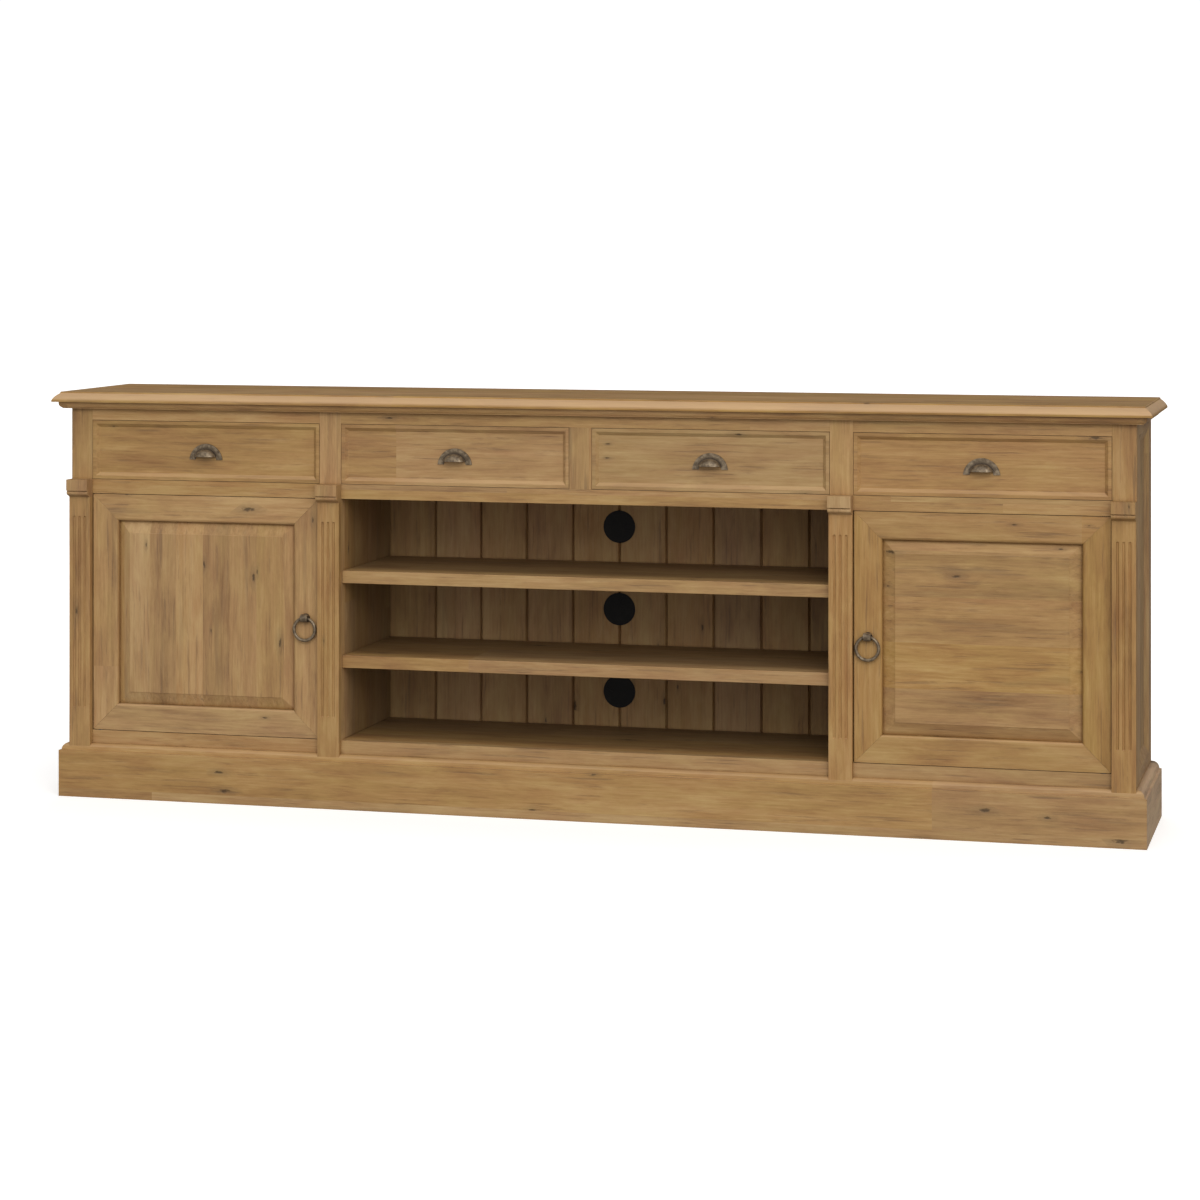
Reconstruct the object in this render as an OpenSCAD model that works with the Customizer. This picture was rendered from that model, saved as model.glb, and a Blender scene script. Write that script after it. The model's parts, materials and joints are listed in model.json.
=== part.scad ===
// Farmhouse media cabinet in solid wood: two cupboards, four drawers and an open bay for equipment.
// Millimetres. +Z is up, the front faces -Y, and the origin is on the floor under the middle.

/* [Overall size] */
// Width over the moulded edge of the top
overall_w = 2150; // [1950:10:2300]
// Depth over the moulded edge of the top
overall_d = 352; // [345:1:420]
// Height of the flat top above the floor
overall_h = 800; // [780:5:850]
// Overhang of the top beyond the face frame, at the front and both sides
top_overhang = 31; // [28:1:36]

/* [Mouldings] */
// Thickness of the top
top_t = 20; // [18:1:24]
// Height of the bed moulding under the top
bed_h = 13; // [11:1:16]
// Projection of the bed moulding
bed_out = 20; // [17:1:24]
// Height of the plinth with its moulded upper edge
plinth_h = 105; // [95:1:115]
// Projection of the plinth
plinth_out = 20; // [17:1:24]

/* [Face frame] */
// Width of each stile
stile_w = 44; // [40:1:50]
// Thickness of the face frame and of the doors
frame_t = 22; // [20:1:24]
// Width of the open bay between its two stiles
bay_w = 960; // [860:10:1060]
// Height of the bottom rail that shows above the plinth
bottom_rail_h = 26; // [22:1:32]
// Height of the rail between the cupboards and the drawers
mid_rail_h = 28; // [24:1:34]
// Height of the rail above the drawers
top_rail_h = 36; // [32:1:42]
// Height of each drawer opening
drawer_opening_h = 117; // [105:1:130]

/* [Pilasters] */
// Projection of the pilasters
pilaster_out = 13; // [11:1:15]
// Projection of the capital blocks
capital_out = 28; // [24:1:30]
// Flutes in each pilaster
flutes = 3; // [1:1:3]

/* [Doors and drawers] */
// Width of the mitred door frame members
door_member_w = 52; // [46:1:60]
// Width of the bevel around the raised door panel
panel_bevel_w = 24; // [18:1:28]
// Width of the flat rim around each drawer front
drawer_rim_w = 6.5; // [5:0.5:10]
// Depth of the drawer boxes behind the fronts
drawer_depth = 245; // [200:5:250]
// Outer diameter of the pull rings on the doors
ring_od = 49; // [46:1:52]
// Width of the cup pulls on the drawers
cup_pull_w = 69; // [60:1:76]

/* [Open bay] */
// Thickness of the two fixed shelves
shelf_t = 24; // [20:1:28]
// Tongue-and-groove planks across the back of the bay
planks = 10; // [8:2:12]
// Diameter of the hole for each cable grommet
grommet_hole_d = 60; // [50:5:65]
// Angle of the cable knock-out of the top, middle and bottom grommet cap
notch_angles = [0, 60, 150]; // [0:5:355]

/* [Hidden] */
// Whole cabinet
panel_t = 20;                 // carcass boards
back_t = 12;                  // back panels
back_recess = 9;              // carcass sides stand behind the back by this much
mitre_gap = 0.2;              // hairline between boards that meet in one node
cut = 1;                      // overshoot of a cut beyond the face that it opens
body_w = overall_w - 2 * top_overhang;
half_body = body_w / 2;
y_face = -overall_d / 2 + top_overhang;
y_back = overall_d / 2;
y_inside = y_face + frame_t;
y_back_panel = y_back - back_recess - back_t;

// Levels
z_top_under = overall_h - top_t;
z_bed_under = z_top_under - bed_h;
z_top_rail = z_top_under - top_rail_h;
z_drawer = z_top_rail - drawer_opening_h;
z_mid_rail = z_drawer - mid_rail_h;
z_floor = plinth_h + bottom_rail_h;
opening_h = z_mid_rail - z_floor;
deck_t = 12;
z_deck_top = z_mid_rail + deck_t;

// Stile positions, by the left edge of each full-height stile
half_bay = bay_w / 2;
half_inside = half_body - panel_t;
door_opening_w = half_body - half_bay - 2 * stile_w;
stile_x = [-half_body, -half_bay - stile_w, half_bay, half_body - stile_w];

// Open bay
shelf_gap = (opening_h - 2 * shelf_t) / 3;
shelf_setback = 6;
z_shelf_lower = z_floor + shelf_gap;
z_shelf_upper = z_shelf_lower + shelf_t + shelf_gap;
grommet_z = [z_shelf_upper + shelf_t + shelf_gap / 2,
             z_shelf_lower + shelf_t + shelf_gap / 2,
             z_floor + shelf_gap / 2];
grommet_flange_r = grommet_hole_d / 2 + 2.2;
grommet_flange_t = 2;
sleeve_wall = 1.5;
cap_r = grommet_hole_d / 2 - sleeve_wall;
cap_t = 3;
notch_w = 15;
notch_depth = 1.2;
running_gap = 0.05;

// Mouldings: steps of the profiles
lip_h = 3.5;
top_step = 3;
top_flat_inset = 14;
top_bow = 1.3;
bed_fillet_h = 3;
bed_bow = 1.6;
bed_foot_out = 14;
plinth_cap_h = 14;
plinth_step = 4.5;

// Pilasters and capitals
flute_r = 2.6;
flute_pitch = 11.2;
flute_margin_bottom = 74;
flute_margin_top = 40;
capital_moulding_h = 13;
capital_block_h = 22;
bead_r = 4.5;
bead_setback = 2;              // bead behind the face of the block
z_capital_foot = z_drawer - capital_block_h - capital_moulding_h;

// Side frames: boards around one recessed panel
side_front_stile_w = 33;
side_back_stile_w = 55;
side_bevel_w = 18;
side_bevel_d = 8;
side_panel_t = 8;
groove_d = 8;

// Doors
door_gap = 2;                 // at the door's sides
door_lift = 1.2;              // over and under the door
door_w = door_opening_w - 2 * door_gap;
door_h = opening_h - 2 * door_lift;
sticking_r = 6;
panel_tongue_t = 6;
panel_tongue_y = 12.5;
panel_field_y = 1.5;
panel_field_step = 1;
door_groove_d = 9;
pivot_r = 3;
pivot_inset = 14;             // pivot axis from the door's hinge edge
pivot_y = 6;                  // pivot axis behind the door's face
pivot_reach = 10;
collar_r = 7;
collar_t = 0.9;

// Ring pulls
ring_wire_r = 3.1;
ring_mean_r = ring_od / 2 - ring_wire_r;
ring_inset = 26;              // ring centre from the door's free edge
ring_out = 8.5;               // ring pivot in front of the door
z_ring_pivot = z_floor + opening_h / 2 + 1;
barrel_r = 7.8;
barrel_l = 14;
barrel_bore_r = 4.7;
rosette_r = 8.5;
rosette_t = 2;
ring_stem_r = 5;

// Drawers
drawer_gap = 0.7;
drawer_front_t = 20;
drawer_bevel_w = 6.5;
drawer_bevel_d = 6;
drawer_side_t = 12;
drawer_side_h = 92;
drawer_side_gap = 6;
drawer_bottom_t = 6;
drawer_bottom_up = 8;
runner_w = 28;
runner_gap = 0.3;
box_joint = 0.2;
centre_drawer_w = (bay_w - stile_w) / 2;
drawer_x = [-half_body + stile_w, -half_bay, stile_w / 2, half_bay + stile_w];
drawer_w = [door_opening_w, centre_drawer_w, centre_drawer_w, door_opening_w];

// Cup pulls
cup_flange_r = cup_pull_w / 2;
cup_flange_t = 1.8;
cup_r = cup_flange_r * 0.7;
cup_out = 19;
cup_wall = 1.8;
cup_squareness = 0.6;
cup_cut = 3.5;                // the flange is cut off this far above its centre
cup_mouth = 6.5;              // the cup ends this far above the flange's feet
z_cup = z_drawer + drawer_opening_h / 2 - 20;

// Cupboard shelves
cupboard_shelf_t = 18;
cupboard_shelf_gap = 1;
z_cupboard_shelf = z_floor + opening_h / 2 - cupboard_shelf_t;
cupboard_shelf_front = 55;
shelf_pin_r = 2.5;
shelf_pin_l = 9;
catch_size = [40, 14, 12];

wood_light = [0.70, 0.55, 0.37];
wood_mid = [0.64, 0.49, 0.32];
wood_dark = [0.55, 0.41, 0.26];
bronze = [0.29, 0.24, 0.20];
black_plastic = [0.06, 0.06, 0.06];
steel = [0.55, 0.55, 0.56];

sides = ["left", "right"];
levels = ["upper", "middle", "lower"];

// ---------- outlines ----------

// Points on a circle's arc from angle a0 to a1
function arc(x, y, r, a0, a1, n = 8) =
    [for (i = [0:n]) let (a = a0 + (a1 - a0) * i / n) [x + r * cos(a), y + r * sin(a)]];

// Points from p to q on a shallow curve that stands proud of the straight line by bulge
function bow(p, q, bulge, n = 8) =
    let (d = q - p, side = [d[1], -d[0]] / norm(d))
    [for (i = [0:n]) let (t = i / n) p + d * t + side * (4 * bulge * t * (1 - t))];

// An edge, given as [inset, depth] points, on both sides of a board of the given size
function both_edges(size, edge) =
    concat(edge, [for (i = [len(edge) - 1:-1:0]) [size - edge[i][0], edge[i][1]]]);

// Moulded edge of the top as [out, up], from its underside to its flat
function top_edge() = concat(
    [[top_overhang, z_top_under]],
    bow([top_overhang, z_top_under + lip_h],
        [top_overhang - top_flat_inset + 1, overall_h - top_step], top_bow),
    [[top_overhang - top_flat_inset, overall_h]]);

// Bed moulding as [out, up]
function bed_outline() = concat(
    [[0, z_bed_under], [bed_foot_out, z_bed_under]],
    bow([bed_foot_out, z_bed_under + 1], [bed_out, z_top_under - bed_fillet_h], bed_bow),
    [[bed_out, z_top_under], [0, z_top_under]]);

// Plinth board as [out, up], with a quarter round on its upper edge
function plinth_outline() = let (r = plinth_cap_h - 1) concat(
    [[0, 0], [plinth_out, 0], [plinth_out, plinth_h - plinth_cap_h]],
    arc(plinth_out - plinth_step - r, plinth_h - r, r, 0, 90),
    [[0, plinth_h]]);

// Capital as [out, up]: a bead under a plain block
function capital_outline() =
    let (block_z = z_drawer - capital_block_h, bead_out = capital_out - bead_setback - bead_r) concat(
    [[0, z_capital_foot], [pilaster_out, z_capital_foot]],
    arc(bead_out, block_z - bead_r, bead_r, -90, 60),
    [[bead_out + bead_r / 2, block_z], [capital_out, block_z], [capital_out, z_drawer], [0, z_drawer]]);

// ---------- shared shapes ----------

// A box from its lowest to its highest corner
module block(low, high) {
    translate(low) cube(high - low);
}

// Runs an [out, up] outline along X, standing on the face frame
module along_front(x0, x1) {
    translate([x1, y_face, 0]) rotate([90, 0, -90]) linear_extrude(x1 - x0) children();
}

// Runs an [out, up] outline along Y, standing on the right side
module along_right(y0, y1) {
    translate([half_body, y1, 0]) rotate([90, 0, 0]) linear_extrude(y1 - y0) children();
}

module on_side(side) {
    mirror([side == "left" ? 1 : 0, 0, 0]) children();
}

// A board of size w by h, front at y = 0, whose four edges follow [inset, depth] points, mitred
module edged_board(w, h, edge) {
    outline_h = [for (p = both_edges(h, edge)) [p[1], p[0]]];
    intersection() {
        linear_extrude(h) polygon(both_edges(w, edge));
        rotate([90, 0, 90]) linear_extrude(w) polygon(outline_h);
    }
}

// The part of a front run that is left after both ends are mitred at 45 degrees
module front_mitre(out) {
    linear_extrude(overall_h) polygon([
        [-half_body, y_face], [-half_body - out, y_face - out],
        [half_body + out, y_face - out], [half_body, y_face]]);
}

// The matching part of the right-hand run
module side_mitre(out) {
    linear_extrude(overall_h) polygon([
        [half_body, y_face + mitre_gap], [half_body + out, y_face - out + mitre_gap],
        [half_body + out, y_back], [half_body, y_back]]);
}

module mitred_front(outline, out) {
    intersection() {
        along_front(-half_body - out, half_body + out) polygon(outline);
        front_mitre(out);
    }
}

module mitred_side(outline, out) {
    intersection() {
        along_right(y_face - out, y_back) polygon(outline);
        side_mitre(out);
    }
}

// ---------- top, mouldings and plinth ----------

module top_panel() {
    edge = top_edge();
    across = concat([for (p = edge) [half_body + p[0], p[1]]],
                    [for (i = [len(edge) - 1:-1:0]) [-half_body - edge[i][0], edge[i][1]]]);
    body_d = y_back - y_face;
    color(wood_light) intersection() {
        along_front(-overall_w / 2, overall_w / 2)
            polygon(concat([[-body_d, z_top_under]], edge, [[-body_d, overall_h]]));
        translate([0, y_back, 0]) rotate([90, 0, 0]) linear_extrude(overall_d) polygon(across);
    }
}

module bed_moulding() {
    color(wood_dark) {
        mitred_front(bed_outline(), bed_out);
        for (side = sides)
            on_side(side) mitred_side(bed_outline(), bed_out);
    }
}

module plinth_front() {
    color(wood_mid) mitred_front(plinth_outline(), plinth_out);
}

module plinth_side(side) {
    color(wood_mid) on_side(side) mitred_side(plinth_outline(), plinth_out);
}

module plinth_back() {
    color(wood_dark)
        block([-half_inside, y_back - panel_t, 0], [half_inside, y_back, z_floor - panel_t]);
}

// ---------- face frame ----------

// Rails between the stiles, as separate boards
module rails(z0, z1) {
    color(wood_mid)
        for (span = [[stile_x[0] + stile_w, stile_x[1]], [stile_x[1] + stile_w, stile_x[2]],
                     [stile_x[2] + stile_w, stile_x[3]]])
            block([span[0], y_face, z0], [span[1], y_inside, z1]);
}

module top_rail() {
    rails(z_top_rail, z_top_under);
}

// The rails over and under the doors hold the pivot pins
module mid_rail() {
    difference() {
        rails(z_mid_rail, z_drawer);
        at_pivots(z_mid_rail)
            cylinder(h = 2 * (pivot_reach + door_lift), r = pivot_r, center = true, $fn = 32);
    }
}

module bottom_rail() {
    difference() {
        rails(0, z_floor);
        at_pivots(z_floor) cylinder(h = 2 * pivot_reach, r = pivot_r, center = true, $fn = 32);
    }
}

module stile(i) {
    color(wood_mid) block([stile_x[i], y_face, 0], [stile_x[i] + stile_w, y_inside, z_top_under]);
}

module centre_stile() {
    color(wood_mid) block([-stile_w / 2, y_face, z_drawer], [stile_w / 2, y_inside, z_top_rail]);
}

// A fluted strip on a stile, from the plinth up to the capital; its foot is scribed to the plinth
module pilaster(i) {
    x_middle = stile_x[i] + stile_w / 2;
    z_flute_low = plinth_h + flute_margin_bottom;
    z_flute_high = z_capital_foot - flute_margin_top;
    color(wood_mid) difference() {
        block([stile_x[i], y_face - pilaster_out, plinth_h - plinth_cap_h],
              [stile_x[i] + stile_w, y_face, z_capital_foot]);
        along_front(stile_x[i] - cut, stile_x[i] + stile_w + cut) polygon(plinth_outline());
        for (k = [0:flutes - 1])
            translate([x_middle + (k - (flutes - 1) / 2) * flute_pitch, y_face - pilaster_out, 0]) {
                translate([0, 0, z_flute_low])
                    cylinder(h = z_flute_high - z_flute_low, r = flute_r, $fn = 24);
                for (z = [z_flute_low, z_flute_high])
                    translate([0, 0, z]) sphere(r = flute_r, $fn = 24);
            }
    }
}

module capitals() {
    color(wood_light)
        for (x = stile_x)
            along_front(x, x + stile_w) polygon(capital_outline());
}

// ---------- carcass ----------

// The sloped opening of a side frame, seen from outside the cabinet
module side_opening() {
    w = y_back - side_back_stile_w - y_inside - side_front_stile_w;
    h = z_top_rail - z_floor;
    slope = side_bevel_w / side_bevel_d;
    bevel = [[-slope * cut, -cut], [side_bevel_w, side_bevel_d], [side_bevel_w, panel_t + cut]];
    translate([half_body, y_inside + side_front_stile_w, z_floor]) rotate([0, 0, 90])
        edged_board(w, h, bevel);
}

// Boards of a side frame: two stiles, with a rail above and below between them
module side_boards() {
    y_front_stile = y_inside + side_front_stile_w + side_bevel_w;
    y_back_stile = y_back - side_back_stile_w - side_bevel_w;
    block([half_inside, y_inside, 0], [half_body, y_front_stile, z_top_under]);
    block([half_inside, y_back_stile, 0], [half_body, y_back, z_top_under]);
    block([half_inside, y_front_stile + mitre_gap, z_top_rail - side_bevel_w],
          [half_body, y_back_stile - mitre_gap, z_top_under]);
    block([half_inside, y_front_stile + mitre_gap, 0],
          [half_body, y_back_stile - mitre_gap, z_floor + side_bevel_w]);
}

// The space of the panel and its tongues inside the frame
module side_panel_space(gap) {
    inset = side_bevel_w - groove_d + gap;
    block([half_body - side_bevel_d - side_panel_t, y_inside + side_front_stile_w + inset, z_floor + inset],
          [half_body - side_bevel_d, y_back - side_back_stile_w - inset, z_top_rail - inset]);
}

module side_frame(side) {
    color(wood_mid) on_side(side) difference() {
        side_boards();
        side_opening();
        side_panel_space(0);
    }
}

module side_panel(side) {
    color(wood_dark) on_side(side) side_panel_space(mitre_gap);
}

module partitions() {
    color(wood_dark) {
        for (side = sides)
            on_side(side) {
                block([half_bay, y_inside, z_floor], [half_bay + panel_t, y_back_panel, z_mid_rail]);
                block([half_bay, y_inside, z_deck_top], [half_bay + panel_t, y_back_panel, z_top_under]);
            }
        block([-panel_t / 2, y_inside, z_deck_top], [panel_t / 2, y_back_panel, z_top_under]);
    }
}

module floor_panel() {
    color(wood_dark)
        block([-half_inside, y_inside, z_floor - panel_t], [half_inside, y_back_panel, z_floor]);
}

// Board between the drawers and the spaces under them
module drawer_deck() {
    color(wood_dark)
        block([-half_inside, y_inside, z_mid_rail], [half_inside, y_back_panel, z_deck_top]);
}

// Two strips under each drawer carry its sides
module drawer_runners() {
    color(wood_light)
        for (i = [0:3], end = [0, 1]) {
            x = drawer_x[i] + drawer_side_gap + end * (drawer_w[i] - 2 * drawer_side_gap - runner_w);
            block([x, y_inside, z_deck_top],
                  [x + runner_w, y_back_panel, z_drawer + drawer_gap - runner_gap]);
        }
}

// Tongue-and-groove planks as one board with V grooves, and a hole for each grommet
module back_beadboard() {
    pitch = bay_w / planks;
    groove = 3;
    groove_depth = 6;
    w = half_bay + panel_t / 2;
    grooves = [for (i = [1:planks - 1], s = [-1:1])
               [-half_bay + i * pitch + s * groove, y_back_panel + (s == 0 ? groove_depth : 0)]];
    color(wood_mid) difference() {
        translate([0, 0, z_floor - panel_t]) linear_extrude(z_top_under - z_floor + panel_t)
            polygon(concat([[-w, y_back_panel]], grooves,
                           [[w, y_back_panel], [w, y_back_panel + back_t], [-w, y_back_panel + back_t]]));
        for (z = grommet_z)
            translate([0, y_back_panel - cut, z]) rotate([-90, 0, 0])
                cylinder(h = back_t + 2 * cut, d = grommet_hole_d, $fn = 64);
    }
}

module back_panels() {
    color(wood_dark)
        for (side = sides)
            on_side(side)
                block([half_bay + panel_t / 2, y_back_panel, z_floor - panel_t],
                      [half_inside, y_back_panel + back_t, z_top_under]);
}

module bay_shelf(z) {
    color(wood_light)
        block([-half_bay, y_face + shelf_setback, z], [half_bay, y_back_panel, z + shelf_t]);
}

// One loose shelf behind each door, resting on four pins
module cupboard_shelves() {
    x0 = half_bay + panel_t + cupboard_shelf_gap;
    x1 = half_inside - cupboard_shelf_gap;
    color(wood_mid)
        for (side = sides)
            on_side(side)
                block([x0, y_face + cupboard_shelf_front, z_cupboard_shelf],
                      [x1, y_back_panel, z_cupboard_shelf + cupboard_shelf_t]);
}

module shelf_pins() {
    inset = 35;
    color(steel)
        for (side = sides, x = [half_bay + panel_t, half_inside - shelf_pin_l],
             y = [y_face + cupboard_shelf_front + inset, y_back_panel - inset])
            on_side(side) translate([x, y, z_cupboard_shelf - shelf_pin_r]) rotate([0, 90, 0])
                cylinder(h = shelf_pin_l, r = shelf_pin_r, $fn = 24);
}

// Magnetic catch behind the free edge of each door, under the deck
module door_catches() {
    x = half_bay + stile_w + 16;
    y = y_inside + 2;
    color(steel)
        for (side = sides)
            on_side(side) block([x, y, z_mid_rail - catch_size[2]],
                                [x + catch_size[0], y + catch_size[1], z_mid_rail]);
}

// ---------- door pivots ----------

// Moves to the pivot axis of the right-hand door
module at_right_pivot(z) {
    translate([half_body - stile_w - door_gap - pivot_inset, y_face + pivot_y, z]) children();
}

module at_pivots(z) {
    for (side = sides)
        on_side(side) at_right_pivot(z) children();
}

// Steel pins in the rails; the lower ones have a collar that carries the door
module door_pivots() {
    reach = pivot_reach + door_lift;
    color(steel) {
        at_pivots(z_mid_rail - reach) cylinder(h = 2 * reach, r = pivot_r, $fn = 32);
        at_pivots(z_floor - pivot_reach) cylinder(h = pivot_reach + reach, r = pivot_r, $fn = 32);
        at_pivots(z_floor) cylinder(h = collar_t, r = collar_r, $fn = 32);
    }
}

// ---------- doors, drawn on the right-hand side ----------

door_x = half_bay + stile_w + door_gap;
door_z = z_floor + door_lift;

// The whole ring of the door frame before it is cut into its four boards
module door_ring() {
    opening = concat([[door_member_w - sticking_r, -cut]],
                     arc(door_member_w - sticking_r, sticking_r, sticking_r, -90, 0),
                     [[door_member_w, frame_t + cut]]);
    groove = door_member_w - door_groove_d;
    difference() {
        cube([door_w, frame_t, door_h]);
        edged_board(door_w, door_h, opening);
        translate([groove, panel_tongue_y - mitre_gap, groove])
            cube([door_w - 2 * groove, panel_tongue_t + 2 * mitre_gap, door_h - 2 * groove]);
    }
}

// A wedge that keeps one board of the mitred frame; it lies along X from corner to corner
module mitre_wedge(length) {
    deep = door_member_w + cut;
    translate([0, frame_t, 0]) rotate([90, 0, 0]) linear_extrude(frame_t)
        polygon([[mitre_gap, 0], [length - mitre_gap, 0],
                 [length - deep - mitre_gap, deep], [deep + mitre_gap, deep]]);
}

module door_wedges() {
    mitre_wedge(door_w);
    translate([0, 0, door_h]) mirror([0, 0, 1]) mitre_wedge(door_w);
    mirror([1, 0, 0]) rotate([0, -90, 0]) mitre_wedge(door_h);
    translate([door_w, 0, 0]) rotate([0, -90, 0]) mitre_wedge(door_h);
}

module door_frame(side) {
    color(wood_light) on_side(side) difference() {
        translate([door_x, y_face, door_z]) intersection() {
            door_ring();
            door_wedges();
        }
        for (z = [z_floor, z_mid_rail])
            at_right_pivot(z)
                cylinder(h = 2 * (pivot_reach + door_lift) + cut, r = pivot_r + running_gap,
                         center = true, $fn = 32);
    }
}

// Raised panel: its field stands above a wide bevel that runs into the grooves
module door_panel(side) {
    tongue = door_groove_d - 1;
    inset = door_member_w - tongue;
    field = tongue + panel_bevel_w;
    edge = [[field, panel_field_y], [field, panel_field_y + panel_field_step],
            [tongue, panel_tongue_y], [0, panel_tongue_y], [0, panel_tongue_y + panel_tongue_t]];
    color(wood_light) on_side(side)
        translate([door_x + inset, y_face, door_z + inset])
            edged_board(door_w - 2 * inset, door_h - 2 * inset, edge);
}

// Moves to the pivot of the ring, in front of the door's free edge
module at_ring_pivot(side) {
    on_side(side) translate([door_x + ring_inset, y_face - ring_out, z_ring_pivot]) children();
}

// Rosette, stem and a barrel that the ring runs through
module ring_post(side) {
    color(bronze) at_ring_pivot(side) difference() {
        union() {
            rotate([-90, 0, 0]) cylinder(h = ring_out, r = ring_stem_r, $fn = 32);
            translate([0, ring_out, 0]) rotate([90, 0, 0]) cylinder(h = rosette_t, r = rosette_r, $fn = 48);
            rotate([0, 90, 0]) cylinder(h = barrel_l, r = barrel_r, center = true, $fn = 48);
        }
        rotate([0, 90, 0]) cylinder(h = barrel_l + 2 * cut, r = barrel_bore_r, center = true, $fn = 48);
    }
}

module pull_ring(side) {
    color(bronze) at_ring_pivot(side)
        translate([0, 0, -ring_mean_r]) rotate([90, 0, 0])
            rotate_extrude($fn = 64) translate([ring_mean_r, 0]) circle(r = ring_wire_r, $fn = 24);
}

// ---------- drawers ----------

// Drawer front with a flat rim and a sloped recess
module drawer_front(i) {
    w = drawer_w[i] - 2 * drawer_gap;
    h = drawer_opening_h - 2 * drawer_gap;
    slope = drawer_bevel_w / drawer_bevel_d;
    recess = [[drawer_rim_w - slope * cut, -cut], [drawer_rim_w + drawer_bevel_w, drawer_bevel_d]];
    color(wood_light) translate([drawer_x[i] + drawer_gap, y_face, z_drawer + drawer_gap])
        difference() {
            cube([w, drawer_front_t, h]);
            edged_board(w, h, recess);
        }
}

// Two sides, a back and a bottom, as separate boards behind the front
module drawer_box(i) {
    x0 = drawer_x[i] + drawer_side_gap;
    x1 = drawer_x[i] + drawer_w[i] - drawer_side_gap;
    y0 = y_face + drawer_front_t;
    y1 = y0 + drawer_depth;
    z0 = z_drawer + drawer_gap;
    z1 = z0 + drawer_side_h;
    inner0 = x0 + drawer_side_t + box_joint;
    inner1 = x1 - drawer_side_t - box_joint;
    color(wood_light) {
        block([x0, y0, z0], [x0 + drawer_side_t, y1, z1]);
        block([x1 - drawer_side_t, y0, z0], [x1, y1, z1]);
        block([inner0, y1 - drawer_side_t, z0 + drawer_bottom_up + drawer_bottom_t + box_joint],
              [inner1, y1, z1]);
        block([inner0, y0, z0 + drawer_bottom_up], [inner1, y1, z0 + drawer_bottom_up + drawer_bottom_t]);
    }
}

// Outline of the cup from its rim to its crown, as [radius, out]; it is squarer than an ellipse
function cup_curve(r, out, n = 14) =
    [for (k = [0:n]) let (a = 90 * k / n)
     [r * pow(cos(a), cup_squareness), out * pow(sin(a), cup_squareness)]];

module cup_shell() {
    outer = [for (p = cup_curve(cup_r, cup_out - cup_flange_t)) p + [0, cup_flange_t]];
    inner = cup_curve(cup_r - cup_wall, cup_out - cup_wall);
    rotate([90, 0, 0]) rotate_extrude($fn = 72)
        polygon(concat(outer, [for (k = [len(inner) - 1:-1:0]) inner[k]]));
}

module cup_flange() {
    rotate([90, 0, 0]) difference() {
        cylinder(h = cup_flange_t, r = cup_flange_r, $fn = 72);
        translate([0, 0, -cut]) cylinder(h = cup_flange_t + 2 * cut, r = cup_r - cup_wall, $fn = 72);
    }
}

// A half-moon flange and a half dome that is open below for the fingers
module cup_pull(i) {
    below = 2 * cup_flange_r;
    color(bronze)
        translate([drawer_x[i] + drawer_w[i] / 2, y_face + drawer_bevel_d, z_cup]) {
            difference() {
                cup_flange();
                block([-below, -below, -below], [below, below, cup_cut]);
            }
            difference() {
                cup_shell();
                block([-below, -below, -below], [below, below, cup_cut + cup_mouth]);
            }
        }
}

// ---------- cable grommets ----------

// Flange and lining of the three holes in the back
module grommet_sleeves() {
    outline = [[cap_r, -grommet_flange_t], [grommet_flange_r, -grommet_flange_t], [grommet_flange_r, 0],
               [grommet_hole_d / 2, 0], [grommet_hole_d / 2, back_t], [cap_r, back_t]];
    color(black_plastic)
        for (z = grommet_z)
            translate([0, y_back_panel, z]) rotate([-90, 0, 0]) rotate_extrude($fn = 72) polygon(outline);
}

// A cap that turns in its sleeve, with a round-ended knock-out for the cables, thinned from the front
module grommet_cap(i) {
    r = cap_r - running_gap;
    notch_x = cap_r * 0.55;
    deep = cut + notch_depth;
    color(black_plastic)
        translate([0, y_back_panel - grommet_flange_t, grommet_z[i]]) rotate([-90, -notch_angles[i], 0])
            difference() {
                cylinder(h = cap_t, r = r, $fn = 72);
                translate([notch_x, 0, -cut]) {
                    cylinder(h = deep, d = notch_w, $fn = 36);
                    translate([0, -notch_w / 2, 0]) cube([cap_r, notch_w, deep]);
                }
            }
}

top_panel();
bed_moulding();
plinth_front();
plinth_back();
top_rail();
mid_rail();
bottom_rail();
centre_stile();
capitals();
partitions();
floor_panel();
drawer_deck();
drawer_runners();
back_beadboard();
back_panels();
bay_shelf(z_shelf_upper);  // shelf_upper
bay_shelf(z_shelf_lower);  // shelf_lower
cupboard_shelves();
shelf_pins();
door_pivots();
door_catches();
grommet_sleeves();
for (i = [0:3]) {
    stile(i);
    pilaster(i);
    drawer_front(i);
    drawer_box(i);
    cup_pull(i);
}
for (i = [0:2])
    grommet_cap(i);
for (side = sides) {
    plinth_side(side);
    side_frame(side);
    side_panel(side);
    door_frame(side);
    door_panel(side);
    ring_post(side);
    pull_ring(side);
}
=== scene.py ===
"""Looks of the media cabinet: materials, rounded edges, hardware, floor, light and camera."""
import json
import math
from collections import namedtuple

import bpy
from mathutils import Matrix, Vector


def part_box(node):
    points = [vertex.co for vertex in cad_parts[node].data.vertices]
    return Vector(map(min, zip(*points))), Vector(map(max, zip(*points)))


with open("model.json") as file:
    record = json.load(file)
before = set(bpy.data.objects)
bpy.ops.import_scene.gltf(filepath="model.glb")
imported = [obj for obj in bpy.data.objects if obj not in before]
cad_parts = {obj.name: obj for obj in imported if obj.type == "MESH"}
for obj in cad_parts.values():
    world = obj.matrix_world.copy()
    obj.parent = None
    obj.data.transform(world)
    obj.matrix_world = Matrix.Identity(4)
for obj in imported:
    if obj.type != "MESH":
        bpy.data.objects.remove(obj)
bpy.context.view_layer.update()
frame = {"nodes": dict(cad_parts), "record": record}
nodes = frame["nodes"]

MM = 0.001


# ---------- node tree helper ----------

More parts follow.
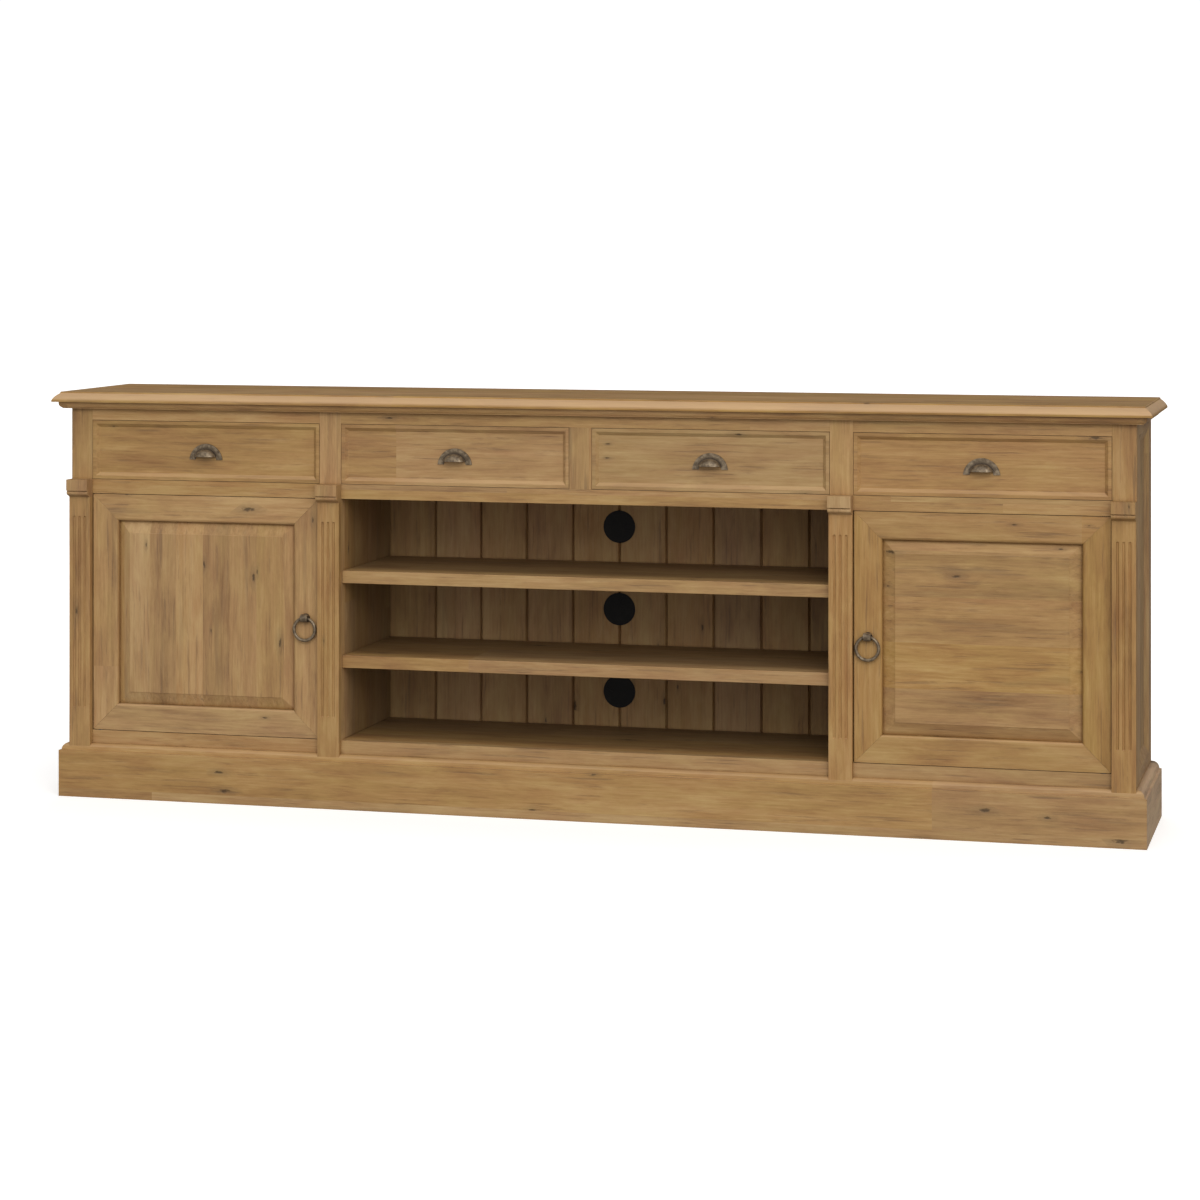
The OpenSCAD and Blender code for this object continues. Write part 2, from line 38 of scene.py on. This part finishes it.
class Tree:
    """Adds nodes to a node tree and links them. A value is a socket or a constant."""

    def __init__(self, tree):
        self.tree = tree

    def feed(self, socket, value):
        if isinstance(value, bpy.types.NodeSocket):
            self.tree.links.new(value, socket)
        else:
            socket.default_value = value

    def add(self, kind, inputs=None, **settings):
        node = self.tree.nodes.new(kind)
        for name, value in settings.items():
            setattr(node, name, value)
        for name, value in (inputs or {}).items():
            self.feed(node.inputs[name], value)
        return node

    def math(self, operation, *values, clamp=False):
        numbered = dict(enumerate(values))
        node = self.add("ShaderNodeMath", numbered, operation=operation, use_clamp=clamp)
        return node.outputs[0]

    def total(self, *values):
        result = values[0]
        for value in values[1:]:
            result = self.math("ADD", result, value)
        return result

    def scaled(self, value, factor, centre=0.0):
        """(value - centre) * factor"""
        return self.math("MULTIPLY", self.math("SUBTRACT", value, centre), factor)

    def between(self, value, low, high):
        """0 at low and 1 at high, smooth between them; low may be above high."""
        node = self.add("ShaderNodeMapRange", {"Value": value, "From Min": low, "From Max": high},
                        interpolation_type="SMOOTHSTEP")
        return node.outputs["Result"]

    def split(self, vector):
        return self.add("ShaderNodeSeparateXYZ", {0: vector}).outputs

    def join(self, x, y, z):
        return self.add("ShaderNodeCombineXYZ", {0: x, 1: y, 2: z}).outputs[0]

    def stretch(self, vector, factors):
        node = self.add("ShaderNodeVectorMath", {0: vector, 1: factors}, operation="MULTIPLY")
        return node.outputs[0]

    def shift(self, vector, offset):
        return self.add("ShaderNodeVectorMath", {0: vector, 1: offset}, operation="ADD").outputs[0]

    def noise(self, vector, scale=1.0, detail=2.0, roughness=0.5, distortion=0.0):
        inputs = {"Vector": vector, "Scale": scale, "Detail": detail, "Roughness": roughness,
                  "Distortion": distortion}
        return self.add("ShaderNodeTexNoise", inputs).outputs["Fac"]

    def mix(self, factor, first, second, blend="MIX"):
        node = self.add("ShaderNodeMix", data_type="RGBA", blend_type=blend)
        self.feed(node.inputs["Factor"], factor)
        self.feed(node.inputs[6], first)
        self.feed(node.inputs[7], second)
        return node.outputs[2]

    def ramp(self, value, stops):
        """stops: (place, colour) pairs."""
        node = self.add("ShaderNodeValToRGB", {0: value})
        elements = node.color_ramp.elements
        while len(elements) < len(stops):
            elements.new(0.5)
        for element, (place, colour) in zip(elements, stops):
            element.position = place
            element.color = (*colour, 1.0)
        return node.outputs[0]


def new_material(name):
    material = bpy.data.materials.new(name)
    material.use_nodes = True
    material.node_tree.nodes.clear()
    return material, Tree(material.node_tree)


def finish_material(tree, colour, roughness, height, bump, metallic=0.0, specular=0.5):
    """Principled surface with a bump from height, which is in units of bump metres."""
    normal = tree.add("ShaderNodeBump", {"Height": height, "Distance": bump, "Strength": 1.0})
    shader = tree.add("ShaderNodeBsdfPrincipled", {
        "Base Color": colour, "Roughness": roughness, "Metallic": metallic,
        "Specular IOR Level": specular, "Normal": normal.outputs[0]})
    tree.add("ShaderNodeOutputMaterial", {"Surface": shader.outputs[0]})


# ---------- wood ----------

WOOD_DARK = (0.225, 0.120, 0.043)
WOOD_MID = (0.420, 0.246, 0.098)
WOOD_LIGHT = (0.575, 0.372, 0.178)
KNOT = (0.060, 0.036, 0.018)
STREAK = (0.165, 0.106, 0.054)
SMEAR = (0.205, 0.135, 0.068)
# painted highlight colour for edges and slopes that face up
UPSLOPE_HIGHLIGHT = (0.770, 0.520, 0.310)
# painted shade colour, multiplied into corners and crevices
CORNER_SHADE = (0.50, 0.40, 0.27)
WOOD_BUMP = 0.45 * MM


def wood_group():
    """Knotty board wood. Grain is a place in metres: along the grain, across it, into the board."""
    group = bpy.data.node_groups.new("knotty_wood", "ShaderNodeTree")
    sockets = group.interface
    sockets.new_socket("Grain", in_out="INPUT", socket_type="NodeSocketVector")
    for name in ("Seed", "Stave Start", "Stave Width", "Stave Length", "Stave Contrast", "Tone",
                 "Warmth", "Knots", "Rubbed"):
        sockets.new_socket(name, in_out="INPUT", socket_type="NodeSocketFloat")
    sockets.new_socket("Colour", in_out="OUTPUT", socket_type="NodeSocketColor")
    sockets.new_socket("Roughness", in_out="OUTPUT", socket_type="NodeSocketFloat")
    sockets.new_socket("Height", in_out="OUTPUT", socket_type="NodeSocketFloat")
    t = Tree(group)
    given = t.add("NodeGroupInput").outputs
    seed = given["Seed"]
    along, across, depth = t.split(given["Grain"])

    # glued-up staves: each has its own tone and its own piece of the trunk
    row_place = t.math("DIVIDE", t.math("SUBTRACT", across, given["Stave Start"]), given["Stave Width"])
    row = t.math("FLOOR", row_place)
    row_random = t.add("ShaderNodeTexWhiteNoise", {"W": t.total(row, t.scaled(seed, 13.7))},
                       noise_dimensions="1D").outputs["Value"]
    column = t.math("FLOOR", t.total(t.math("DIVIDE", along, given["Stave Length"]),
                                     t.scaled(row_random, 7.3)))
    stave = t.add("ShaderNodeTexWhiteNoise", {"Vector": t.join(row, column, seed)},
                  noise_dimensions="3D").outputs["Color"]
    stave_tone, stave_place, stave_slope = t.split(stave)
    in_stave = t.math("MULTIPLY", t.scaled(t.math("FRACT", row_place), 1.0, 0.5), given["Stave Width"])
    place = t.shift(given["Grain"], t.stretch(stave, (3.1, 1.7, 2.3)))
    place = t.shift(place, t.join(t.scaled(seed, 1.9), t.scaled(seed, 0.7), t.scaled(seed, 1.3)))

    # knots: a few cells hold a small dark one, longer along the grain
    place_along, place_across, _ = t.split(place)
    on_face = t.join(t.scaled(place_along, 8.0), t.scaled(place_across, 26.0), 0.0)
    cells = t.add("ShaderNodeTexVoronoi", {"Vector": on_face, "Scale": 1.0},
                  voronoi_dimensions="2D", feature="F1")
    has_knot, knot_size, _ = t.split(cells.outputs["Color"])
    size = t.math("ADD", t.scaled(t.math("POWER", knot_size, 3.0), 0.085), 0.030)
    wobble = t.noise(t.stretch(place, (130.0, 300.0, 300.0)), detail=2.0)
    from_knot = t.math("DIVIDE", cells.outputs["Distance"], size)
    from_knot = t.math("ADD", from_knot, t.scaled(wobble, 2.2, 0.5))
    present = t.math("LESS_THAN", has_knot, given["Knots"])
    core = t.math("MULTIPLY", t.between(from_knot, 1.25, 0.35), present)
    halo = t.math("MULTIPLY", t.between(from_knot, 4.5, 0.6), present)

    # growth rings round the trunk's axis, which slopes through the board and makes arches
    wander = t.noise(t.stretch(place, (1.5, 5.0, 5.0)), detail=2.0)
    bend = t.noise(t.stretch(place, (5.0, 22.0, 22.0)), detail=4.0, roughness=0.6)
    side = t.total(in_stave, t.scaled(stave_place, 0.10, 0.5), t.scaled(wander, 0.07, 0.5))
    deep = t.total(depth, t.scaled(t.math("ADD", stave_slope, 0.2), 0.09),
                   t.math("MULTIPLY", along, t.scaled(stave_slope, 0.09, 0.5)))
    radius = t.math("SQRT", t.math("ADD", t.math("MULTIPLY", side, side),
                                   t.math("MULTIPLY", deep, deep)))
    ring_place = t.total(t.scaled(radius, 120.0), t.scaled(bend, 4.5, 0.5), t.scaled(halo, 1.4))
    rings = t.math("FRACT", ring_place)
    late = t.math("MULTIPLY", t.between(rings, 0.15, 0.85), t.between(rings, 1.0, 0.85))

    # fibres, soft streaks and clouds, and thin grey veins where the wood has weathered
    fibre = t.noise(t.stretch(place, (14.0, 300.0, 300.0)), detail=4.0, roughness=0.72)
    streak = t.noise(t.stretch(place, (4.0, 62.0, 62.0)), detail=6.0, roughness=0.70, distortion=0.35)
    cloud = t.noise(t.stretch(place, (7.5, 26.0, 26.0)), detail=5.0, roughness=0.65, distortion=0.3)
    mottle = t.noise(t.stretch(place, (2.4, 13.0, 13.0)), detail=3.0)
    vein = t.noise(t.stretch(place, (8.0, 190.0, 190.0)), detail=4.0, roughness=0.6)
    vein = t.math("MULTIPLY", t.between(vein, 0.54, 0.68), t.between(cloud, 0.60, 0.42))
    smear = t.noise(t.stretch(place, (2.8, 40.0, 40.0)), detail=4.0, roughness=0.6, distortion=0.4)
    smear = t.math("MULTIPLY", t.between(smear, 0.56, 0.72), t.between(mottle, 0.62, 0.42))

    # painted highlight on edges and slopes that face up, where light from above falls, and painted shade
    # darkening corners and crevices by ambient occlusion
    facing_up = t.split(t.add("ShaderNodeNewGeometry").outputs["Normal"])[2]
    rubbed = t.math("MULTIPLY", t.between(facing_up, 0.45, 0.60), t.between(facing_up, 0.99, 0.93))
    openness = t.add("ShaderNodeAmbientOcclusion", {"Distance": 9.0 * MM}, samples=4).outputs["AO"]
    painted_corner_shade = t.between(openness, 0.80, 0.30)

    level = t.total(
        t.scaled(streak, 0.75, 0.5), t.scaled(cloud, 0.75, 0.5), t.scaled(mottle, 0.62, 0.5),
        t.scaled(fibre, 0.62, 0.5), t.scaled(late, -0.055),
        t.math("MULTIPLY", t.scaled(stave_tone, 1.0, 0.5), given["Stave Contrast"]), 0.52)
    colour = t.ramp(level, ((0.0, WOOD_DARK), (0.5, WOOD_MID), (1.0, WOOD_LIGHT)))
    colour = t.mix(t.math("MULTIPLY", smear, 0.36), colour, (*SMEAR, 1.0))
    colour = t.mix(t.math("MULTIPLY", vein, 0.45), colour, (*STREAK, 1.0))
    colour = t.mix(t.scaled(halo, 0.34), colour, (*STREAK, 1.0))
    colour = t.mix(t.scaled(core, 0.80), colour, (*KNOT, 1.0))
    tinted = t.add("ShaderNodeHueSaturation", {
        "Color": colour, "Fac": 1.0,
        "Hue": t.total(0.5, t.scaled(stave_place, 0.005, 0.5), t.scaled(cloud, 0.034, 0.5)),
        "Saturation": t.total(given["Warmth"], t.scaled(stave_slope, 0.08, 0.5)),
        "Value": given["Tone"]}).outputs[0]
    # painted highlight: up-facing edges and slopes mixed towards a light colour
    tinted = t.mix(t.math("MULTIPLY", rubbed, given["Rubbed"]), tinted, (*UPSLOPE_HIGHLIGHT, 1.0))
    # painted shade: corners and crevices darkened where ambient occlusion finds other surfaces close
    tinted = t.mix(t.scaled(painted_corner_shade, 0.62), tinted, (*CORNER_SHADE, 1.0), blend="MULTIPLY")

    roughness = t.total(0.42, t.scaled(fibre, 0.16), t.scaled(late, 0.05), t.scaled(streak, 0.10),
                        t.scaled(rubbed, -0.08))
    height = t.total(t.scaled(fibre, 0.50), t.scaled(late, 0.12), t.scaled(streak, 0.25),
                     t.scaled(core, -1.0), t.scaled(vein, -0.5))
    t.add("NodeGroupOutput", {"Colour": tinted, "Roughness": roughness, "Height": height})
    return group


WOOD = wood_group()
AXES = {"x": 0, "y": 1, "z": 2}

# How a board is cut: grain direction, direction across its show face, width, length and first
# edge of its staves in metres, their contrast, tone and warmth of the colour, share of cells with a
# knot, and how strong the painted highlight on its up-facing edges and slopes is
Board = namedtuple("Board", "along across stave length start contrast tone warmth knots rubbed",
                   defaults=(0.3, 3.0, 0.017, 0.16, 1.0, 1.0, 0.13, 0.25))


def grain_vector(tree, place, along, across):
    """Place re-ordered as along the grain, across it, into the board."""
    into = ({"x", "y", "z"} - {along, across}).pop()
    parts = tree.split(place)
    return tree.join(parts[AXES[along]], parts[AXES[across]], parts[AXES[into]])


def wood_material(name, board, seed, other=None, is_other=None, piece_number=None, shade=None):
    """A board's wood. Where is_other is 1 the grain runs as in the board called other."""
    material, t = new_material(name)
    place = t.add("ShaderNodeTexCoord").outputs["Object"]
    grain = grain_vector(t, place, board.along, board.across)
    if other:
        turned = grain_vector(t, place, other.along, other.across)
        choice = t.add("ShaderNodeMix", data_type="VECTOR")
        t.feed(choice.inputs["Factor"], is_other(t, place))
        t.feed(choice.inputs[4], grain)
        t.feed(choice.inputs[5], turned)
        grain = choice.outputs[1]
    if piece_number:
        seed = t.math("ADD", t.scaled(piece_number(t, place), 2.61), seed)
    tone = board.tone
    if shade:
        tone = t.scaled(shade(t, place), board.tone)
    wood = t.add("ShaderNodeGroup", node_tree=WOOD)
    values = {"Grain": grain, "Seed": seed, "Stave Start": board.start, "Stave Width": board.stave,
              "Stave Length": board.length, "Stave Contrast": board.contrast, "Tone": tone,
              "Warmth": board.warmth, "Knots": board.knots, "Rubbed": board.rubbed}
    for socket, value in values.items():
        t.feed(wood.inputs[socket], value)
    finish_material(t, wood.outputs["Colour"], wood.outputs["Roughness"], wood.outputs["Height"],
                    WOOD_BUMP, specular=0.35)
    return material


def greater(t, value, limit):
    return t.math("GREATER_THAN", value, limit)


def mitred(node):
    """Mask of the top and bottom boards of a frame that fills the node's box, and the boards' numbers."""
    low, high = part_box(node)
    centre = (low + high) / 2
    half = (high - low) / 2

    def is_rail(t, place):
        x, _, z = t.split(place)
        from_side = t.math("SUBTRACT", half.x, t.math("ABSOLUTE", t.scaled(x, 1.0, centre.x)))
        from_end = t.math("SUBTRACT", half.z, t.math("ABSOLUTE", t.scaled(z, 1.0, centre.z)))
        return t.math("LESS_THAN", from_end, from_side)

    def number(t, place):
        x, _, z = t.split(place)
        rail_mask = is_rail(t, place)
        right = t.math("MULTIPLY", greater(t, x, centre.x), t.math("SUBTRACT", 1.0, rail_mask))
        upper = t.math("MULTIPLY", greater(t, z, centre.z), rail_mask)
        return t.total(right, t.scaled(rail_mask, 2.0), upper)
    return is_rail, number


def on_sides(limit):
    """Mask that is 1 further than limit from the middle of the cabinet, left and right."""
    def mask(t, place):
        x, _, _ = t.split(place)
        return greater(t, t.math("ABSOLUTE", x), limit)
    return mask


def side_rails(t, place):
    """Mask of the two rails of a side frame, between its stiles."""
    _, y, z = t.split(place)
    between_stiles = t.math("MULTIPLY", greater(t, y, SIDE_OPENING_Y[0]),
                            t.math("LESS_THAN", y, SIDE_OPENING_Y[1]))
    beside = t.math("MULTIPLY", greater(t, z, SIDE_OPENING_Z[0]),
                    t.math("LESS_THAN", z, SIDE_OPENING_Z[1]))
    return t.math("MULTIPLY", between_stiles, t.math("SUBTRACT", 1.0, beside))


def drawer_sides(node):
    """Mask of the two sides of a drawer box, which run front to back as its bottom doesn't."""
    low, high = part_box(node)
    middle = (low.x + high.x) / 2
    reach = (high.x - low.x) / 2 - BOX_SIDE_T

    def mask(t, place):
        x, _, _ = t.split(place)
        return greater(t, t.math("ABSOLUTE", t.scaled(x, 1.0, middle)), reach)
    return mask


def by_bay(width):
    """A number that changes every width metres across the cabinet."""
    def number(t, place):
        x, _, _ = t.split(place)
        return t.math("FLOOR", t.total(t.scaled(x, 1 / width), 0.5))
    return number


def darker_inside(t, place):
    """Darkens the bay's boards from their front edges inwards, in place of the bay's deep shade."""
    _, y, _ = t.split(place)
    return t.math("SUBTRACT", 1.0, t.scaled(t.between(y, BAY_EDGE_Y, BAY_EDGE_Y + BAY_FADE), 0.45))


def darker_face(t, place):
    """Darkens the planks' face in the bay, but not their back, in place of the bay's deep shade."""
    _, y, _ = t.split(place)
    return t.math("SUBTRACT", 1.0, t.math("MULTIPLY", 0.25, t.math("LESS_THAN", y, PLANK_MIDDLE_Y)))


def rail(**changes):
    return Board("x", "z", **changes)


def upright(**changes):
    return Board("z", "x", **changes)


def flat(**changes):
    return Board("x", "y", **changes)


def end(**changes):
    return Board("z", "y", **changes)


def front_to_back(**changes):
    return Board("y", "z", **changes)


BODY_EDGE_X = 1.046
BOX_SIDE_T = 12.1 * MM
BAY_EDGE_Y = -0.135
BAY_FADE = 70 * MM
PLANK_MIDDLE_Y = sum(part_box("back_beadboard"), Vector()).y / 2
SIDE_OPENING_Y = (-0.090, 0.121)
SIDE_OPENING_Z = (0.131, 0.744)

BOARDS = {
    # the top's moulded edge gets a stronger painted highlight
    "top_panel": flat(stave=0.118, length=1.7, tone=0.96, warmth=1.08, rubbed=0.58),
    # lighter tone: painted light that lifts the shade under the top's overhang
    "bed_moulding": rail(tone=1.10),
    "plinth_front": rail(warmth=1.02, tone=0.98),
    # lighter, greyer ends: a painted sheen for the grazing reflection on the end faces
    "plinth_left": front_to_back(tone=1.38, warmth=0.78),
    "plinth_right": front_to_back(tone=1.38, warmth=0.78),
    "plinth_back": rail(tone=0.9),
    # lighter tone: painted light that lifts the shade under the top's overhang
    "top_rail": rail(tone=1.05),
    "mid_rail": rail(tone=0.99),
    "bottom_rail": rail(tone=0.95),
    "centre_stile": upright(),
    "capitals": upright(),
    "side_frame_left": end(tone=0.93),
    "side_frame_right": end(tone=0.93),
    "side_panel_left": end(stave=0.07, contrast=0.25, tone=0.93),
    "side_panel_right": end(stave=0.07, contrast=0.25, tone=0.93),
    "partitions": end(stave=0.08, contrast=0.2, tone=0.95),
    "floor_panel": flat(stave=0.08, contrast=0.2),
    "drawer_deck": flat(stave=0.08),
    "drawer_runners": front_to_back(),
    "back_beadboard": upright(stave=0.096, start=0.0, contrast=0.22),
    "back_panels": upright(stave=0.12, contrast=0.3),
    "shelf_upper": flat(),
    "shelf_lower": flat(tone=0.93),
    "cupboard_shelves": flat(stave=0.08, contrast=0.3),
    "drawer_1_front": rail(),
    "drawer_2_front": rail(length=0.42, contrast=0.20),
    "drawer_3_front": rail(tone=0.92),
    "drawer_4_front": rail(warmth=1.03),
    "door_left_frame": upright(tone=1.08, warmth=0.98),
    "door_right_frame": upright(tone=0.95, warmth=1.07),
    "door_left_panel": upright(stave=0.056, contrast=0.27, tone=1.02),
    "door_right_panel": rail(stave=0.085, length=0.9, contrast=0.18, warmth=1.03),
    "stile_1": upright(),
    "stile_2": upright(tone=1.12, warmth=0.97),
    "stile_3": upright(tone=1.08, warmth=1.04),
    "stile_4": upright(tone=0.94, warmth=1.05),
    "pilaster_1": upright(tone=1.06),
    "pilaster_2": upright(tone=0.96),
    "pilaster_3": upright(tone=0.98, warmth=1.02),
    "pilaster_4": upright(tone=0.96, warmth=1.08),
}
for place_number in range(1, 5):
    BOARDS[f"drawer_{place_number}_box"] = rail(tone=1.15, warmth=0.85)

SHADES = {
    "partitions": darker_inside,
    "floor_panel": darker_inside,
    "shelf_upper": darker_inside,
    "shelf_lower": darker_inside,
    "back_beadboard": darker_face,
}
IN_THREE_BAYS = ("top_rail", "mid_rail", "bottom_rail", "cupboard_shelves", "back_panels")


def cabinet_materials():
    for seed, (name, board) in enumerate(sorted(BOARDS.items())):
        other = None
        is_other = None
        piece_number = None
        if name.startswith("door") and name.endswith("_frame"):
            other = rail()
            is_other, piece_number = mitred(name)
        elif name == "bed_moulding":
            other = front_to_back()
            is_other = on_sides(BODY_EDGE_X)
        elif name.startswith("side_frame"):
            other = front_to_back()
            is_other = side_rails
        elif name.endswith("_box"):
            other = front_to_back()
            is_other = drawer_sides(name)
        elif name in IN_THREE_BAYS:
            piece_number = by_bay(1.0)
        elif name in ("capitals", "partitions"):
            piece_number = by_bay(0.3)
        shade = SHADES.get(name)
        material = wood_material("wood_" + name, board, seed * 1.37, other, is_other, piece_number,
                                 shade)
        for material_slot in nodes[name].material_slots:
            material_slot.material = material


# ---------- metal and plastic ----------

BRONZE = (0.112, 0.080, 0.050, 1.0)
BRONZE_RUBBED = (0.310, 0.236, 0.152, 1.0)
BRONZE_HOLLOW = (0.030, 0.021, 0.014, 1.0)
PLASTIC = (0.0028, 0.0028, 0.0031, 1.0)
PLASTIC_DUST = (0.0080, 0.0076, 0.0072, 1.0)
STEEL = (0.035, 0.034, 0.034, 1.0)
STEEL_RUBBED = (0.130, 0.126, 0.120, 1.0)


def bronze_material():
    """Antique bronze: dark in the hollows, browner and smoother where hands rub it."""
    material, t = new_material("antique_bronze")
    place = t.add("ShaderNodeTexCoord").outputs["Object"]
    cloud = t.noise(place, scale=140.0, detail=4.0, roughness=0.6)
    pits = t.noise(place, scale=900.0, detail=3.0, roughness=0.6)
    openness = t.add("ShaderNodeAmbientOcclusion", {"Distance": 6.0 * MM}, samples=6).outputs["AO"]
    hollow = t.between(openness, 0.80, 0.42)
    rubbed = t.math("MULTIPLY", t.between(openness, 0.80, 1.0), t.between(cloud, 0.32, 0.72))
    colour = t.mix(rubbed, BRONZE, BRONZE_RUBBED)
    colour = t.mix(t.scaled(hollow, 0.88), colour, BRONZE_HOLLOW)
    roughness = t.total(0.52, t.scaled(rubbed, -0.14), t.scaled(pits, 0.10, 0.5))
    finish_material(t, colour, roughness, t.total(t.scaled(pits, 0.7), t.scaled(cloud, 0.5)),
                    0.10 * MM, metallic=0.45)
    return material


def plastic_material():
    """Black moulded plastic with a fine spark texture."""
    material, t = new_material("black_plastic")
    place = t.add("ShaderNodeTexCoord").outputs["Object"]
    spark = t.noise(place, scale=2600.0, detail=2.0)
    dust = t.noise(place, scale=60.0, detail=4.0, roughness=0.65)
    colour = t.mix(t.between(dust, 0.45, 0.75), PLASTIC, PLASTIC_DUST)
    roughness = t.total(0.42, t.scaled(spark, 0.14), t.scaled(dust, 0.10))
    finish_material(t, colour, roughness, spark, 0.06 * MM, specular=0.22)
    return material


def steel_material():
    """Blackened steel with faint rub marks."""
    material, t = new_material("blackened_steel")
    place = t.add("ShaderNodeTexCoord").outputs["Object"]
    blotch = t.noise(place, scale=420.0, detail=3.0)
    rub = t.noise(t.stretch(place, (60.0, 60.0, 900.0)), detail=3.0)
    colour = t.mix(t.between(rub, 0.5, 0.7), STEEL, STEEL_RUBBED)
    roughness = t.total(0.34, t.scaled(blotch, 0.16), t.scaled(rub, 0.12))
    finish_material(t, colour, roughness, t.total(blotch, rub), 0.04 * MM, metallic=0.9)
    return material


def hardware_materials():
    by_slot = {"bronze": bronze_material(), "black_plastic": plastic_material(),
               "steel": steel_material()}
    for part in frame["record"]["subparts"]:
        material = by_slot.get(part["material_slot"])
        if material:
            for material_slot in nodes[part["node"]].material_slots:
                material_slot.material = material


# ---------- rounded edges ----------

SHARP_EDGE = 0.4 * MM
WORN_EDGE = 0.9 * MM
SHARP_BOARDS = ("drawer", "door", "stile", "centre", "mid_rail", "top_rail", "bottom_rail")


def soften_edges(name, width):
    """Joins the CAD mesh's split corners and rounds its sharp edges."""
    weld = nodes[name].modifiers.new("weld", "WELD")
    weld.merge_threshold = 0.01 * MM
    bevel = nodes[name].modifiers.new("rounded_edges", "BEVEL")
    bevel.width = width
    bevel.segments = 2
    bevel.limit_method = "ANGLE"
    bevel.angle_limit = math.radians(32)
    bevel.use_clamp_overlap = True
    bevel.harden_normals = True


def soften_boards():
    for name in BOARDS:
        soften_edges(name, SHARP_EDGE if name.startswith(SHARP_BOARDS) else WORN_EDGE)


# ---------- floor, light, camera ----------

GLOW_DIRECTION = Vector((0.32, -0.80, 0.50)).normalized()
GLOW_TIGHTNESS = 4.0
GLOW_STRENGTH = 1.65
ROOM_STRENGTH = 0.24
BACKDROP_STRENGTH = 1.05
FLOOR_HALF_SIZE = 40.0
FLOOR_SHADE_X = 1.1
FLOOR_SHADE_Y = 0.2
FLOOR_GLOW = 0.53
FLOOR_FAR_GLOW = 0.30
CAMERA_PLACE = (1.527, -5.806, 1.108)
CAMERA_LENS = 92.70
CAMERA_SHIFT_Y = -0.3034
CAMERA_TURN = math.radians(14.73)


def make_floor():
    """A pale floor that glows a little, and more further from the cabinet, so that it meets the white."""
    mesh = bpy.data.meshes.new("floor")
    half = FLOOR_HALF_SIZE
    corners = [(-half, -half, 0), (half, -half, 0), (half, half, 0), (-half, half, 0)]
    mesh.from_pydata(corners, [], [(0, 1, 2, 3)])
    floor = bpy.data.objects.new("floor", mesh)
    bpy.context.scene.collection.objects.link(floor)
    material, t = new_material("pale_floor")
    x, y, _ = t.split(t.add("ShaderNodeTexCoord").outputs["Object"])
    beside = t.math("SUBTRACT", t.math("ABSOLUTE", x), FLOOR_SHADE_X)
    behind = t.math("SUBTRACT", t.math("ABSOLUTE", y), FLOOR_SHADE_Y)
    far = t.between(t.math("MAXIMUM", beside, behind), 0.0, 1.0)
    strength = t.total(FLOOR_GLOW, t.scaled(far, FLOOR_FAR_GLOW))
    diffuse = t.add("ShaderNodeBsdfDiffuse", {"Color": (0.80, 0.80, 0.80, 1.0)})
    glow = t.add("ShaderNodeEmission", {"Color": (1.0, 1.0, 1.0, 1.0), "Strength": strength})
    both = t.add("ShaderNodeAddShader", {0: diffuse.outputs[0], 1: glow.outputs[0]})
    t.add("ShaderNodeOutputMaterial", {"Surface": both.outputs[0]})
    mesh.materials.append(material)
    floor.visible_diffuse = False
    floor.visible_glossy = False


def make_world():
    """White to the camera. As a light, one broad soft glow in front of the cabinet and above it."""
    world = bpy.data.worlds.new("studio")
    world.use_nodes = True
    world.node_tree.nodes.clear()
    bpy.context.scene.world = world
    t = Tree(world.node_tree)
    direction = t.add("ShaderNodeTexCoord").outputs["Generated"]
    towards_glow = t.add("ShaderNodeVectorMath", {0: direction, 1: GLOW_DIRECTION},
                         operation="DOT_PRODUCT").outputs["Value"]
    glow = t.math("POWER", t.math("MAXIMUM", towards_glow, 0.0), GLOW_TIGHTNESS)
    strength = t.total(t.scaled(glow, GLOW_STRENGTH), ROOM_STRENGTH)
    light = t.add("ShaderNodeBackground", {"Color": (1.0, 0.985, 0.96, 1.0), "Strength": strength})
    white = t.add("ShaderNodeBackground", {"Color": (1.0, 1.0, 1.0, 1.0), "Strength": BACKDROP_STRENGTH})
    seen = t.add("ShaderNodeLightPath").outputs["Is Camera Ray"]
    both = t.add("ShaderNodeMixShader", {0: seen, 1: light.outputs[0], 2: white.outputs[0]})
    t.add("ShaderNodeOutputWorld", {"Surface": both.outputs[0]})


def area_light(name, place, target, width, height, power):
    data = bpy.data.lights.new(name, "AREA")
    data.shape = "RECTANGLE"
    data.size = width
    data.size_y = height
    data.energy = power
    light = bpy.data.objects.new(name, data)
    light.location = place
    light.rotation_euler = (Vector(target) - Vector(place)).to_track_quat("-Z", "Y").to_euler()
    bpy.context.scene.collection.objects.link(light)
    return light


def make_lights():
    area_light("key", (1.4, -4.5, 2.9), (0.0, 0.0, 0.4), 3.0, 2.0, 60)
    back = area_light("back_fill", (-0.8, 4.8, 1.9), (0.0, 0.2, 0.4), 3.6, 1.6, 90)
    back.visible_glossy = False


def make_camera():
    """A level camera whose shifted lens looks below the horizon, so that upright edges stay parallel."""
    data = bpy.data.cameras.new("camera")
    data.sensor_width = 36.0
    data.lens = CAMERA_LENS
    data.shift_y = CAMERA_SHIFT_Y
    camera = bpy.data.objects.new("camera", data)
    camera.location = CAMERA_PLACE
    camera.rotation_euler = (math.radians(90), 0, CAMERA_TURN)
    bpy.context.scene.collection.objects.link(camera)
    bpy.context.scene.camera = camera


cabinet_materials()
hardware_materials()
soften_boards()
make_floor()
make_camera()
make_world()
make_lights()
bpy.context.scene.view_settings.view_transform = "Standard"
